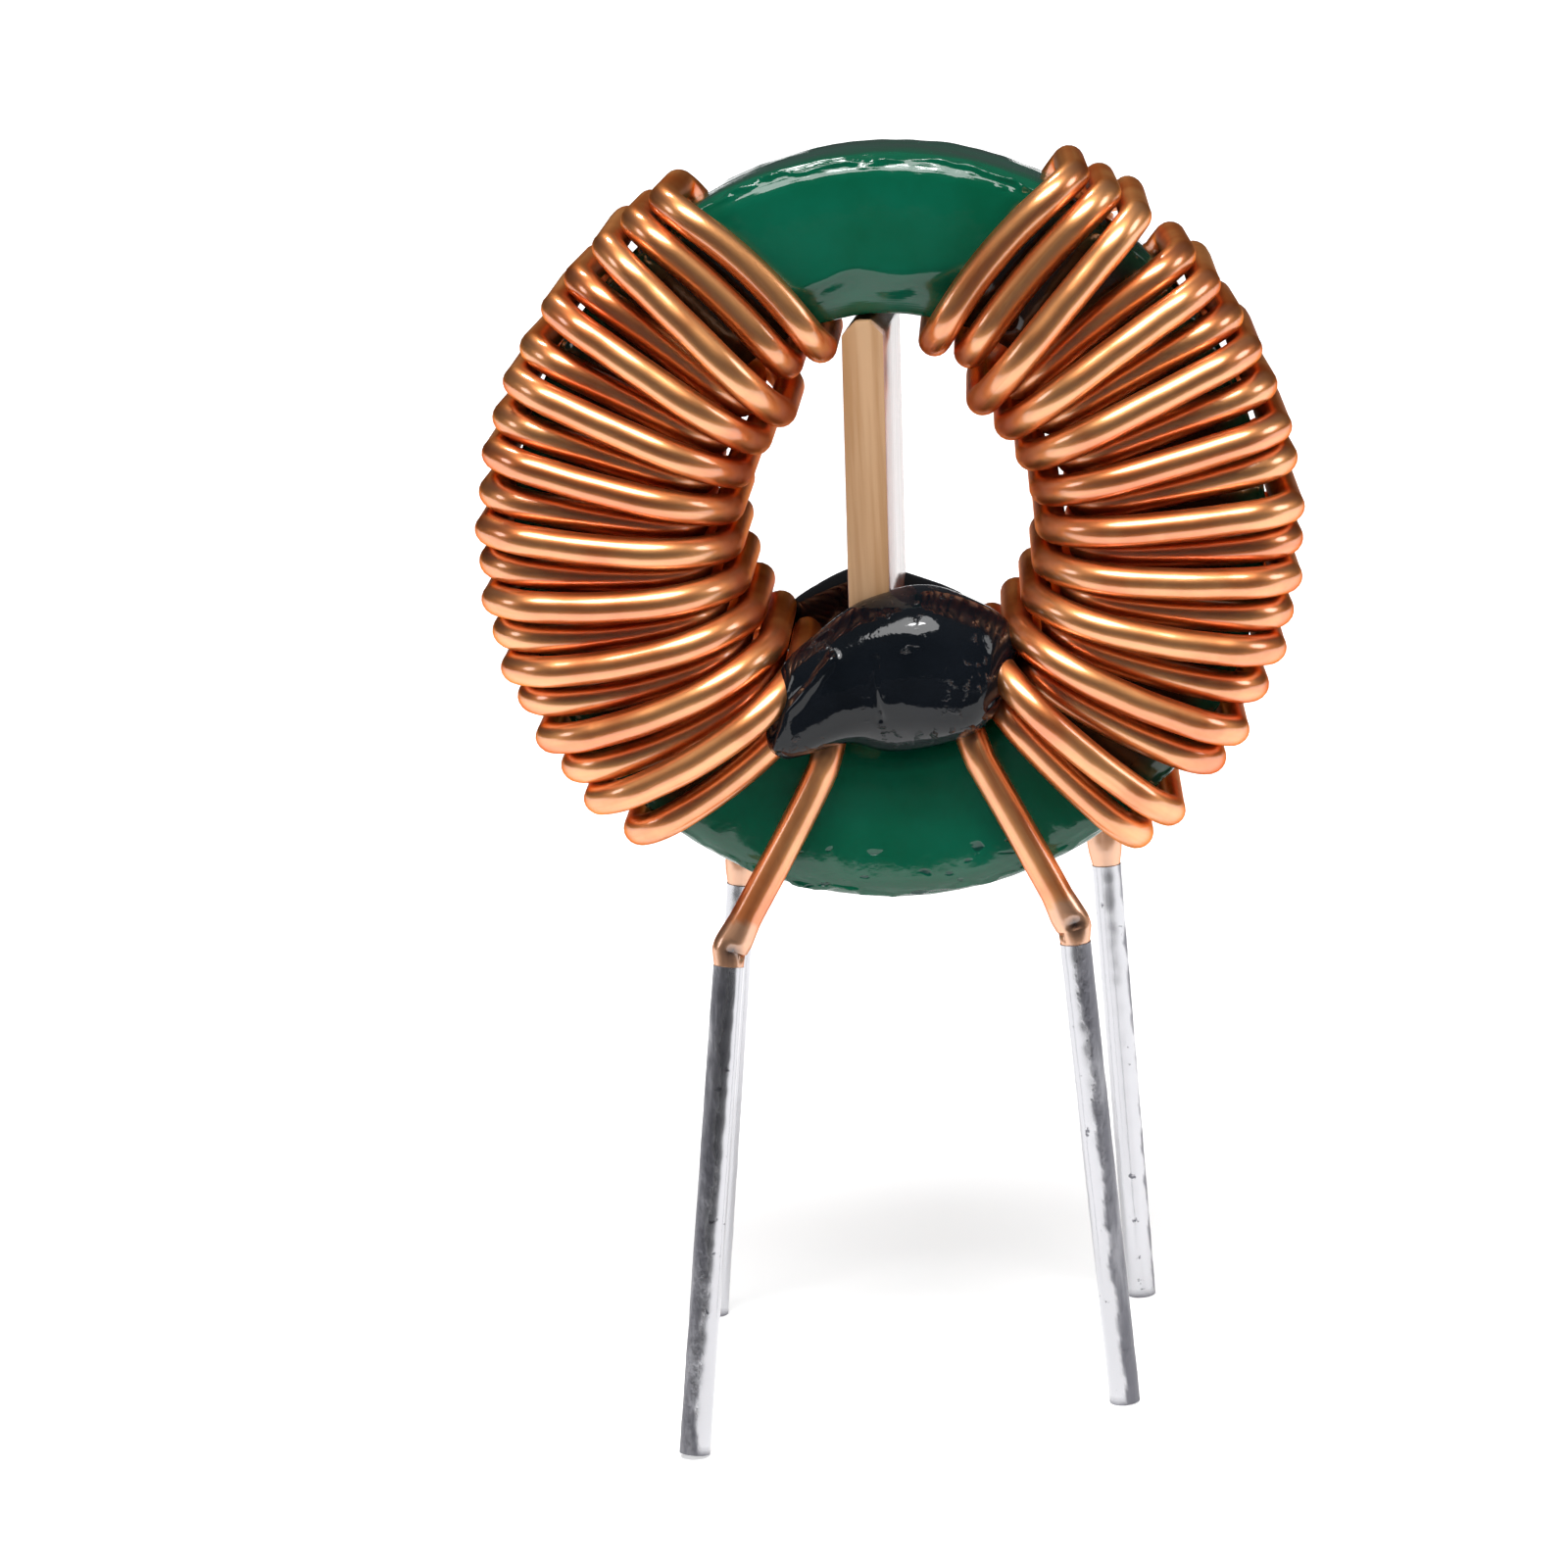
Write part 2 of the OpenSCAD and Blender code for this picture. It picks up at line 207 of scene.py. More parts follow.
bpy.ops.object.select_all(action="DESELECT")
card_at = Vector((0, CARD_FROM - CARD_DEEP / 2, CARD_UP)) * MM
bpy.ops.mesh.primitive_plane_add(size=MM, location=card_at)
card = bpy.context.object
card.name = "dark_card"
card.scale = (CARD_WIDE, CARD_DEEP, 1)
bpy.ops.object.transform_apply(location=True, rotation=True, scale=True)
card_finish = bpy.data.materials.new("dark_paper")
card_finish.use_nodes = True
card_shader = card_finish.node_tree.nodes["Principled BSDF"]
card_shader.inputs["Base Color"].default_value = CARD_GREY
card_shader.inputs["Roughness"].default_value = MATT
card.data.materials.append(card_finish)
card.visible_camera = False
card.visible_diffuse = False
card.visible_shadow = False
print("card starts at y =", CARD_FROM, "mm")

# %% [markdown]
# ## Small helpers
#
# Each piece is modelled with the same few moves: add a primitive, select some of its corners by their
# place, change them in edit mode, apply a modifier, and hand the piece to the frame. Giving these moves a
# name keeps the steps below short.

# %% Helpers for modelling
MERGE_GAP = 0.002


def pick_only(piece):
    """Selects one object and nothing else."""
    bpy.ops.object.select_all(action="DESELECT")
    piece.select_set(True)
    bpy.context.view_layer.objects.active = piece


def settle(piece):
    """Moves a piece's place, turn and scale into its mesh."""
    pick_only(piece)
    bpy.ops.object.transform_apply(location=True, rotation=True, scale=True)


def apply_modifier(piece, kind, **settings):
    """Adds a modifier with these settings and applies it."""
    pick_only(piece)
    modifier = piece.modifiers.new(kind.lower(), kind)
    for name, value in settings.items():
        setattr(modifier, name, value)
    bpy.ops.object.modifier_apply(modifier=modifier.name)


def clean_mesh(piece):
    """Merges doubled corners and turns all faces outwards."""
    pick_only(piece)
    bpy.ops.object.mode_set(mode="EDIT")
    bpy.ops.mesh.select_all(action="SELECT")
    bpy.ops.mesh.remove_doubles(threshold=MERGE_GAP * MM)
    bpy.ops.mesh.normals_make_consistent(inside=False)
    bpy.ops.object.mode_set(mode="OBJECT")


def hand_over(piece, node, finish):
    """Gives a piece its finish and lets it stand for a CAD node."""
    piece.data.materials.clear()
    piece.data.materials.append(finish)
    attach(piece, "root")
    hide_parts(node)
    piece.data.calc_loop_triangles()
    print(piece.name, "stands for", node, "with", len(piece.data.loop_triangles), "triangles")


# %% Read the ring's place and size
EDGE_R = 0.9
RING_WALL = 5.4
coat_low, coat_high = [Vector(corner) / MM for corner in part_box("epoxy_coating")]
core_middle = (coat_low + coat_high) / 2
core_r = (coat_high.x - coat_low.x) / 2
half_h = (coat_high.y - coat_low.y) / 2
bore_r = core_r - RING_WALL
print("ring of", round(2 * core_r, 2), "mm with a bore of", round(2 * bore_r, 2), "mm")

# %% Helpers for materials


def new_finish(name):
    """A new material, with its tree and its Principled shader."""
    finish = bpy.data.materials.new(name)
    finish.use_nodes = True
    return finish, finish.node_tree, finish.node_tree.nodes["Principled BSDF"]


def add_node(tree, kind, values=None, **settings):
    """A node with its settings, and values on its named inputs."""
    node = tree.nodes.new(kind)
    for name, value in settings.items():
        setattr(node, name, value)
    for name, value in (values or {}).items():
        node.inputs[name].default_value = value
    return node


def mix_colour(tree, mask, first, second):
    """A colour that goes from the first to the second where the mask goes from 0 to 1."""
    mixed = add_node(tree, "ShaderNodeMix", data_type="RGBA")
    tree.links.new(mask, mixed.inputs["Factor"])
    for socket, colour in ((mixed.inputs["A"], first), (mixed.inputs["B"], second)):
        if isinstance(colour, tuple):
            socket.default_value = colour
        else:
            tree.links.new(colour, socket)
    return mixed.outputs["Result"]


def spread(tree, value, low, high):
    """A value from 0 to 1 spread over another span."""
    node = add_node(tree, "ShaderNodeMapRange", {"To Min": low, "To Max": high})
    tree.links.new(value, node.inputs["Value"])
    return node.outputs["Result"]


def fade(tree, value, off, full):
    """A mask that is 0 where the value is at the first limit and 1 at the second."""
    limits = {"From Min": off, "From Max": full}
    node = add_node(tree, "ShaderNodeMapRange", limits, interpolation_type="SMOOTHSTEP")
    tree.links.new(value, node.inputs["Value"])
    return node.outputs["Result"]


def reckon(tree, operation, first, second=0):
    """One step of arithmetic on values and numbers."""
    node = add_node(tree, "ShaderNodeMath", operation=operation)
    for socket, value in ((node.inputs[0], first), (node.inputs[1], second)):
        if isinstance(value, (int, float)):
            socket.default_value = value
        else:
            tree.links.new(value, socket)
    return node.outputs[0]


def stored(tree, name):
    """A value that was stored on the corners of the mesh."""
    return add_node(tree, "ShaderNodeAttribute", attribute_name=name).outputs["Fac"]


# %% [markdown]
# ## Shared surface effects
#
# Some effects come back in several finishes. Patches are cloudy areas with soft borders, for stains, uneven
# colour and, when small, for grain. Draw lines are thin scratches that run along a wire, left by the die
# that it was drawn through. Each is one node group, so that a finish only sets how large and how strong it
# is. A third group tells a finish where on the ring it is, as an angle from the top and a distance from the
# axis, which is how one would point at a place on a ring.

# %% A helper for node groups


def new_group(name, inputs, outputs):
    """An empty shader group with number sockets of these names."""
    group = bpy.data.node_groups.new(name, "ShaderNodeTree")
    for socket, value in inputs.items():
        made = group.interface.new_socket(socket, in_out="INPUT", socket_type="NodeSocketFloat")
        made.default_value = value
    for socket in outputs:
        group.interface.new_socket(socket, in_out="OUTPUT", socket_type="NodeSocketFloat")
    start = group.nodes.new("NodeGroupInput")
    end = group.nodes.new("NodeGroupOutput")
    return group, start, end


# %% Build the patches group
patch_inputs = {"Per Metre": 300, "Low": 0.4, "High": 0.6, "Upright": 1, "Detail": 5}
patches_group, start, end = new_group("patches", patch_inputs, ["Mask"])
place = add_node(patches_group, "ShaderNodeTexCoord")
squeeze = add_node(patches_group, "ShaderNodeCombineXYZ", {"X": 1, "Y": 1})
squeezed = add_node(patches_group, "ShaderNodeVectorMath", operation="MULTIPLY")
clouds = add_node(patches_group, "ShaderNodeTexNoise", {"Roughness": 0.55})
border = add_node(patches_group, "ShaderNodeMapRange", interpolation_type="SMOOTHSTEP")
patches_group.links.new(start.outputs["Upright"], squeeze.inputs["Z"])
patches_group.links.new(place.outputs["Object"], squeezed.inputs[0])
patches_group.links.new(squeeze.outputs["Vector"], squeezed.inputs[1])
patches_group.links.new(squeezed.outputs["Vector"], clouds.inputs["Vector"])
patches_group.links.new(start.outputs["Per Metre"], clouds.inputs["Scale"])
patches_group.links.new(start.outputs["Detail"], clouds.inputs["Detail"])
patches_group.links.new(clouds.outputs["Fac"], border.inputs["Value"])
patches_group.links.new(start.outputs["Low"], border.inputs["From Min"])
patches_group.links.new(start.outputs["High"], border.inputs["From Max"])
patches_group.links.new(border.outputs["Result"], end.inputs["Mask"])
print("group:", patches_group.name)

# %% Build the draw lines group
lines_group, start, end = new_group("draw_lines", {"Around": 40, "Along": 1}, ["Mask"])
along_wire = add_node(lines_group, "ShaderNodeUVMap", uv_map="wire_map")
stretch = add_node(lines_group, "ShaderNodeCombineXYZ")
thin_noise = add_node(lines_group, "ShaderNodeTexNoise", {"Scale": 1, "Detail": 3, "Roughness": 0.6})
stretched = add_node(lines_group, "ShaderNodeVectorMath", operation="MULTIPLY")
lines_group.links.new(start.outputs["Around"], stretch.inputs["X"])
lines_group.links.new(start.outputs["Along"], stretch.inputs["Y"])
lines_group.links.new(along_wire.outputs["UV"], stretched.inputs[0])
lines_group.links.new(stretch.outputs["Vector"], stretched.inputs[1])
lines_group.links.new(stretched.outputs["Vector"], thin_noise.inputs["Vector"])
lines_group.links.new(thin_noise.outputs["Fac"], end.inputs["Mask"])
print("group:", lines_group.name)

# %% Build the ring place group
ring_group, start, end = new_group("ring_place", {}, ["Angle", "Radius"])
place = add_node(ring_group, "ShaderNodeTexCoord")
from_axis = add_node(ring_group, "ShaderNodeVectorMath", operation="SUBTRACT")
from_axis.inputs[1].default_value = core_middle * MM
axes = add_node(ring_group, "ShaderNodeSeparateXYZ")
ring_group.links.new(place.outputs["Object"], from_axis.inputs[0])
ring_group.links.new(from_axis.outputs["Vector"], axes.inputs[0])
sideways = reckon(ring_group, "ABSOLUTE", axes.outputs["X"])
angle = reckon(ring_group, "DEGREES", reckon(ring_group, "ARCTAN2", sideways, axes.outputs["Z"]))
across_square = reckon(ring_group, "POWER", sideways, 2)
height_square = reckon(ring_group, "MULTIPLY", axes.outputs["Z"], axes.outputs["Z"])
radius = reckon(ring_group, "SQRT", reckon(ring_group, "ADD", across_square, height_square))
ring_group.links.new(angle, end.inputs["Angle"])
ring_group.links.new(reckon(ring_group, "DIVIDE", radius, MM), end.inputs["Radius"])
print("group:", ring_group.name)


# %% Helpers that place the groups


def patches(tree, per_metre, low, high, upright=1, detail=5):
    """The mask of cloudy patches, this many to the metre, drawn out along Z where upright is under 1."""
    values = {"Per Metre": per_metre, "Low": low, "High": high, "Upright": upright, "Detail": detail}
    node = add_node(tree, "ShaderNodeGroup", node_tree=patches_group)
    for name, value in values.items():
        node.inputs[name].default_value = value
    return node.outputs["Mask"]


def draw_lines(tree, around, along):
    """The mask of scratches along a wire."""
    node = add_node(tree, "ShaderNodeGroup", node_tree=lines_group)
    node.inputs["Around"].default_value = around
    node.inputs["Along"].default_value = along
    return node.outputs["Mask"]


def bump(tree, shader, height, strength, deep_mm, below=None):
    """Feeds a height into the shader's normal, over another bump where one is given."""
    node = add_node(tree, "ShaderNodeBump", {"Strength": strength, "Distance": deep_mm * MM})
    tree.links.new(height, node.inputs["Height"])
    if below is not None:
        tree.links.new(below, node.inputs["Normal"])
    tree.links.new(node.outputs["Normal"], shader.inputs["Normal"])
    return node.outputs["Normal"]


# %% [markdown]
# ## Core and coating
#
# The ferrite ring is sprayed with green epoxy, which is why its edges look soft: the paint gathers there
# and dries in ripples, with a rough ridge along the outer front edge and a few pits. Between the turns the
# paint is darkened with painted shade, for the shade that the turns cast. A ring could be a torus
# primitive, but its section is a square with rounded corners, so a square is drawn where the ring is cut,
# its corners are rounded, and it is spun round the ring's axis. Wet paint also bulges a little in the
# middle of each face. The bulge, the ripples and the ridge are then pushed into the mesh. The pits, and the
# wavy border where the paint rolls into the bore, are too fine for that, so they are left to the finish.

# %% Where the turns begin and end on the ring
FIRST_RIM_ANGLE = 30.5
FIRST_BORE_ANGLE = 16.64
LAST_TURN_ANGLE = 138
WIRE_R = 0.55
WIRE_SLACK = 0.12
base_rise = WIRE_R + WIRE_SLACK
rim_r = core_r + base_rise
lower_r = bore_r - base_rise
print("wire's axis", round(rim_r, 2), "mm out on the rim and", round(lower_r, 2), "mm in the bore")

# %% Mix the green paint
PAINT_IOR = 1.52
thin_paint = (0.002, 0.115, 0.064, 1)
thick_paint = (0.0005, 0.085, 0.039, 1)

finish, tree, shader = new_finish("green_epoxy")
thickness = patches(tree, 170, 0.35, 0.7)
green = mix_colour(tree, thickness, thick_paint, thin_paint)
tree.links.new(spread(tree, patches(tree, 900, 0.35, 0.65), 0.04, 0.1), shader.inputs["Roughness"])
shader.inputs["IOR"].default_value = PAINT_IOR
green_epoxy = finish
print("finish:", finish.name)

# %% Paint shade on the coating between the turns
# The turns shade the paint between them, so it is darkened here with painted shade, weaker near the outer
# rim.
GAP_SHADE_FROM = 1
GAP_SHADE_FULL = 4
ANGLE_BORDER = 8
RIM_EDGE = 0.2
RIM_BAND = 1.5
painted_gap_shade = (0.026, 0.011, 0.005, 1)

ring_at = add_node(tree, "ShaderNodeGroup", node_tree=ring_group)
fan = (FIRST_RIM_ANGLE - FIRST_BORE_ANGLE) / (rim_r - lower_r)
first_turn = reckon(tree, "MULTIPLY_ADD", ring_at.outputs["Radius"], fan)
first_turn.node.inputs[2].default_value = FIRST_BORE_ANGLE - fan * lower_r
beyond = reckon(tree, "SUBTRACT", ring_at.outputs["Angle"], first_turn)
past_first = fade(tree, beyond, GAP_SHADE_FROM, GAP_SHADE_FULL)
before_last = fade(tree, ring_at.outputs["Angle"], LAST_TURN_ANGLE + ANGLE_BORDER, LAST_TURN_ANGLE)
off_edge = fade(tree, ring_at.outputs["Radius"], core_r - RIM_EDGE, core_r - RIM_BAND)
between_turns = reckon(tree, "MULTIPLY", past_first, before_last)
shaded_between_turns = reckon(tree, "MULTIPLY", between_turns, spread(tree, off_edge, 0.35, 1))
outside = mix_colour(tree, shaded_between_turns, green, painted_gap_shade)
print("varnish down to", LAST_TURN_ANGLE, "degrees from the top")

# %% Pit the paint near the lower rim
PITS_FROM_ANGLE = 156
PITS_BAND = 1.9
pit_green = (0.003, 0.05, 0.036, 1)

low_down = fade(tree, ring_at.outputs["Angle"], PITS_FROM_ANGLE, PITS_FROM_ANGLE + ANGLE_BORDER)
near_rim = fade(tree, ring_at.outputs["Radius"], core_r - PITS_BAND, core_r - RIM_BAND)
pitted = reckon(tree, "MULTIPLY", low_down, near_rim)
pits = reckon(tree, "MULTIPLY", patches(tree, 900, 0.64, 0.68, 2.4, 1), pitted)
tree.links.new(mix_colour(tree, pits, outside, pit_green), shader.inputs["Base Color"])
print("pits from", PITS_FROM_ANGLE, "degrees on")

# %% Roll, ripple and grain the paint
ROLL_FROM = 0.5
ROLL_TO = 1.9
ROLL_DEEP = 0.34
ROLL_NONE_ANGLE = 120
ROLL_FULL_ANGLE = 60

wavy = spread(tree, patches(tree, 260, 0.3, 0.7, detail=1), -0.5, 0.5)
wavy_radius = reckon(tree, "ADD", ring_at.outputs["Radius"], wavy)
rolled = fade(tree, wavy_radius, bore_r + ROLL_FROM, bore_r + ROLL_TO)
high_up = fade(tree, ring_at.outputs["Angle"], ROLL_NONE_ANGLE, ROLL_FULL_ANGLE)
roll_in = bump(tree, shader, reckon(tree, "MULTIPLY", rolled, high_up), 1, ROLL_DEEP)
ripples = bump(tree, shader, patches(tree, 420, 0.2, 0.8, detail=2), 0.16, 0.12, roll_in)
fine = bump(tree, shader, patches(tree, 2600, 0.3, 0.7), 0.08, 0.03, ripples)
bump(tree, shader, reckon(tree, "SUBTRACT", 1, pits), 0.5, 0.08, fine)
print("paint rolls into the bore over", ROLL_TO, "mm")

# %% Spin the coated ring
RING_STEPS = 600
EDGE_STEPS = 12
FACE_CUTS = 2
ring_axis = core_middle * MM

bpy.ops.object.select_all(action="DESELECT")
section_at = Vector(((core_r + bore_r) / 2, 0, core_middle.z)) * MM
bpy.ops.mesh.primitive_plane_add(size=1, location=section_at)
coating = bpy.context.object
coating.name = "coating"
coating.scale = ((core_r - bore_r) * MM, 2 * half_h * MM, 1)
settle(coating)
bpy.ops.object.mode_set(mode="EDIT")
bpy.ops.mesh.select_all(action="SELECT")
bpy.ops.mesh.bevel(offset=EDGE_R * MM, segments=EDGE_STEPS, affect="VERTICES")
bpy.ops.mesh.delete(type="ONLY_FACE")
bpy.ops.mesh.select_all(action="SELECT")
bpy.ops.mesh.subdivide(number_cuts=FACE_CUTS)
bpy.ops.mesh.spin(steps=RING_STEPS, angle=2 * math.pi, center=ring_axis, axis=(0, 1, 0))
bpy.ops.object.mode_set(mode="OBJECT")
clean_mesh(coating)
print("ring corners:", len(coating.data.vertices))

# %% Push the bulge, the ripples and the ridge into the coating
OUTER_SAG = 0.16
INNER_SAG = 0.3
RIPPLE_HIGH = 0.04
RIDGE_HIGH = 0.14
RIDGE_WIDE = 0.1
RIDGE_AT = 0.8
SPECK_HIGH = 0.05
SPECK_WIDE = 0.35
SPECK_OFF = 0.2
SPECK_RARE = 0.42


def ring_place(angle, r, y):
    """A point at an angle from the top, clockwise as seen from the front."""
    turn = math.radians(angle)
    return Vector((r * math.sin(turn), y, core_middle.z + r * math.cos(turn)))


def ridge_height(spot, out):
    """The thin crooked bead of paint on the outer front edge, with a few specks beside it."""
    bend = math.atan2(out - core_r + EDGE_R, EDGE_R - half_h - spot.y)
    along = bend * EDGE_R
    crooked = RIDGE_AT + 0.25 * noise.noise(spot * 0.55) + 0.2 * noise.noise(spot * 1.6)
    crooked += 0.1 * noise.noise(spot * 4)
    bead = math.exp(-((along - crooked) / RIDGE_WIDE) ** 2) * max(0, 0.75 + noise.noise(spot * 1.1))
    beside = math.exp(-((along - crooked + SPECK_OFF) / SPECK_WIDE) ** 2)
    speck = max(0, noise.noise(spot * 3.6) - SPECK_RARE) * 3 * beside
    return RIDGE_HIGH * bead + SPECK_HIGH * speck


outwards = [corner.normal.copy() for corner in coating.data.vertices]
for corner, outward in zip(coating.data.vertices, outwards):
    spot = corner.co / MM
    out = Vector((spot.x, 0, spot.z - core_middle.z)).length
    ripple = noise.noise(spot * 0.6) + 0.5 * noise.noise(spot * 1.7)
    off_middle = (out - (core_r + bore_r) / 2) / (RING_WALL / 2)
    sag = (OUTER_SAG if off_middle > 0 else INNER_SAG) * off_middle ** 2 * abs(outward.y)
    push = min(0, RIPPLE_HIGH * (ripple - 1)) - sag
    if spot.y < EDGE_R - half_h and out > core_r - 2 * EDGE_R:
        push += ridge_height(spot, out)
    corner.co += outward * push * MM
pick_only(coating)
bpy.ops.object.shade_smooth()
hand_over(coating, "epoxy_coating", green_epoxy)

# %% [markdown]
# ## Ferrite
#
# The ferrite itself is hidden under the coating, so its CAD solid is right as it is. It only needs a
# fired ceramic look: dark grey, slightly grainy and dull.

# %% Dress the ferrite core
finish, tree, shader = new_finish("fired_ferrite")
fired_black = (0.018, 0.018, 0.02, 1)
fired_grey = (0.04, 0.04, 0.043, 1)
fired = mix_colour(tree, patches(tree, 1500, 0.35, 0.65), fired_black, fired_grey)
tree.links.new(fired, shader.inputs["Base Color"])
tree.links.new(spread(tree, patches(tree, 800, 0.3, 0.7), 0.55, 0.8), shader.inputs["Roughness"])
bump(tree, shader, patches(tree, 5000, 0.2, 0.8), 0.3, 0.02)
core_node = frame["nodes"]["ferrite_core"]
core_node.data.materials.clear()
core_node.data.materials.append(finish)
print("finish:", finish.name)

# %% [markdown]
# ## Copper windings
#
# Each coil is one length of thick enamelled copper wire. It climbs the ring in every other place against
# the coating and comes back down over the first layer, so that seen from the front the turns cross in
# pairs. Twenty turns by hand would be slow, so the wire is drawn as a curve through points that a few
# formulas give, the same ones that shaped the CAD solid, and the curve gets a round section.

# %% The wire's sizes
BARE_R = 0.48
SCRAPE_LEN = 0.5
TURNS = 20
BORE_GAP_SHARE = 0.13
LAYER_SHIFT = 8.46
rim_gap_shares = {
    -1: [0.06, 0.08, 0.36, 0.06, 0.44, 0.06, 0.24, 0.06, 0.27, 0.06,
         0.08, 0.08, 0.12, 0.08, 0.1, 0.3, 0.25, 0.18, 0.6],
    1: [0.1, 0.08, 0.84, 0.08, 0.27, 0.06, 0.25, 0.25, 0.06, 0.4,
        0.06, 0.08, 0.16, 0.08, 0.35, 0.42, 0.2, 0.97, 0.27],
}
lift_shares = {-1: [0, 0.32, 0.6, 0.88, 1], 1: [0.12, 0.78, 1.15, 1.15, 1.05]}
pull_shares = {-1: (0.04, 0.3), 1: (0.3, 0.3)}
swing_shares = {-1: -0.45, 1: 0.45}

layer_rise = 2 * WIRE_R + WIRE_SLACK / 2
upper_r = lower_r - layer_rise
inner_edge_r = bore_r + EDGE_R
outer_edge_r = core_r - EDGE_R
bore_step = math.degrees(math.asin((1 + BORE_GAP_SHARE) * WIRE_R / upper_r))
lead_step = 2 * math.degrees(math.asin((1 + BORE_GAP_SHARE) * WIRE_R / lower_r))
print("turn to turn in the bore, in degrees:", round(bore_step, 2))

# %% Where each turn lies


def rim_angle(side, slot):
    """Angle of a turn on the rim, counted from the top."""
    widths = slot + sum(rim_gap_shares[side][:slot])
    return FIRST_RIM_ANGLE + math.degrees(widths * 2 * WIRE_R / rim_r)


def bore_angle(slot):
    """Angle of a turn in the bore, counted from the top."""
    if slot < 2:
        return FIRST_BORE_ANGLE + lead_step * slot
    return FIRST_BORE_ANGLE + LAYER_SHIFT + bore_step * slot


def slot_of(turn):
    """The coil climbs in every other slot to the first one and comes back down in those between."""
    return TURNS - 1 - 2 * turn if turn < TURNS / 2 else 2 * turn - TURNS


def rise_of(turn):
    """How far a turn lies above the first layer."""
    return 0 if turn <= TURNS / 2 else layer_rise


lead_angle = bore_angle(TURNS - 1) + lead_step
print("lead enters the bore at", round(lead_angle, 1), "degrees")

# %% Half a turn over one face
FINE = 6


def blend_shares(shares, at):
    """A smooth value between neighbouring shares."""
    low = min(int(at), len(shares) - 2)
    t = at - low
    t = t * t * (3 - 2 * t) * 0.5 + t * 0.5
    return shares[low] + (shares[low + 1] - shares[low]) * t


def half_turn(side, face, at_rim, at_bore, rise, bore_rise):
    """Points from the rim over the front (-1) or the back (1) and round into the bore."""
    points = []
    heights = [rise * share for share in lift_shares[face]] + [bore_rise, bore_rise]
    for count in range(6 * FINE + 1):
        k = count / FINE
        reach = EDGE_R + base_rise + blend_shares(heights, k)
        bend = math.radians(45 * min(k, 6 - k, 2))
        r = outer_edge_r + (inner_edge_r - outer_edge_r) * (k - 2) / 2
        if k < 2:
            rim_reach = EDGE_R + base_rise + heights[0]
            r = outer_edge_r + min(reach * math.cos(bend), rim_reach)
        if k > 4:
            r = inner_edge_r - reach * math.cos(bend)
        y = face * (half_h - EDGE_R + reach * math.sin(bend))
        inside_r = lower_r - bore_rise
        share = max(0, min(1, (r - inside_r) / (rim_r - inside_r)))
        points.append(ring_place(side * (at_bore + (at_rim - at_bore) * share), r, y))
    return points


def whole_turn(side, turn):
    """Up from the bore over the back, across the rim, and over the front into the bore."""
    at_rim = rim_angle(side, slot_of(turn))
    from_bore = bore_angle(slot_of(turn - 1)) if turn else lead_angle
    from_rise = rise_of(turn - 1) if turn else 0
    rise = rise_of(turn)
    behind = half_turn(side, 1, at_rim, from_bore, rise, from_rise)
    before = half_turn(side, -1, at_rim, bore_angle(slot_of(turn)), rise, rise)
    return behind[::-1] + before


print("points in one turn:", len(whole_turn(1, 3)))

# %% Legs and leads
LEAD_STEPS = 7 * FINE
leg_mounts = {mount["name"]: mount for mount in frame["record"]["mounts"] if mount["kind"] == "pin"}
leg_names = {(-1, -1): "front_left", (1, -1): "front_right", (-1, 1): "back_left", (1, 1): "back_right"}


def leg_ends(side, face):
    """Tip and tinned top of a leg, from its mount in the record."""
    mount = leg_mounts[leg_names[side, face] + "_leg"]
    half = Vector(mount["axis"]) * mount["dims"]["length_mm"] / 2
    middle = Vector(mount["pos_m"]) / MM
    return middle + half, middle - half


def lead(side, face, rise, angle):
    """The smooth stretch from above a leg to the face of the core, and its bend into the bore."""
    tip, top = leg_ends(side, face)
    up = (top - tip).normalized()
    start = top + up * SCRAPE_LEN
    y = face * (half_h + base_rise + rise)
    end = ring_place(side * angle, inner_edge_r, y)
    past = ring_place(side * (angle + swing_shares[face] * bore_step), rim_r, y)
    span = (end - start).length
    first_pull, last_pull = pull_shares[face]
    a = start
    b = start + up * span * first_pull
    c = end + (past - end).normalized() * span * last_pull
    d = end
    points = []
    for count in range(LEAD_STEPS + 1):
        t = count / LEAD_STEPS
        points.append((1 - t) ** 3 * a + 3 * (1 - t) ** 2 * t * b + 3 * (1 - t) * t * t * c + t ** 3 * d)
    reach = EDGE_R + base_rise + rise
    for count in range(1, 2 * FINE + 1):
        bend = math.radians(90 - 45 * count / FINE)
        y = face * (half_h - EDGE_R + reach * math.sin(bend))
        points.append(ring_place(side * angle, inner_edge_r - reach * math.cos(bend), y))
    return points


print("front left leg:", [[round(c, 2) for c in end] for end in leg_ends(-1, -1)])

# %% Draw the two coils
TIP_HIDDEN = 0.3
SHRINK = 0.015
TUBE_STEPS = 8


def coil_points(side):
    """The whole wire from the front leg's tip to the back leg's tip, each point with its radius."""
    front_tip, front_top = leg_ends(side, -1)
    back_tip, back_top = leg_ends(side, 1)
    front_up = (front_top - front_tip).normalized()
    back_up = (back_top - back_tip).normalized()
    wire = [(front_tip + front_up * TIP_HIDDEN, BARE_R), (front_top, BARE_R)]
    wire += [(point, WIRE_R) for point in lead(side, -1, 0, lead_angle)]
    for turn in range(TURNS):
        wire += [(point, WIRE_R) for point in whole_turn(side, turn)]
    wire += [(point, WIRE_R) for point in lead(side, 1, layer_rise, bore_angle(TURNS - 2))[::-1]]
    wire += [(back_top, BARE_R), (back_tip + back_up * TIP_HIDDEN, BARE_R)]
    return wire


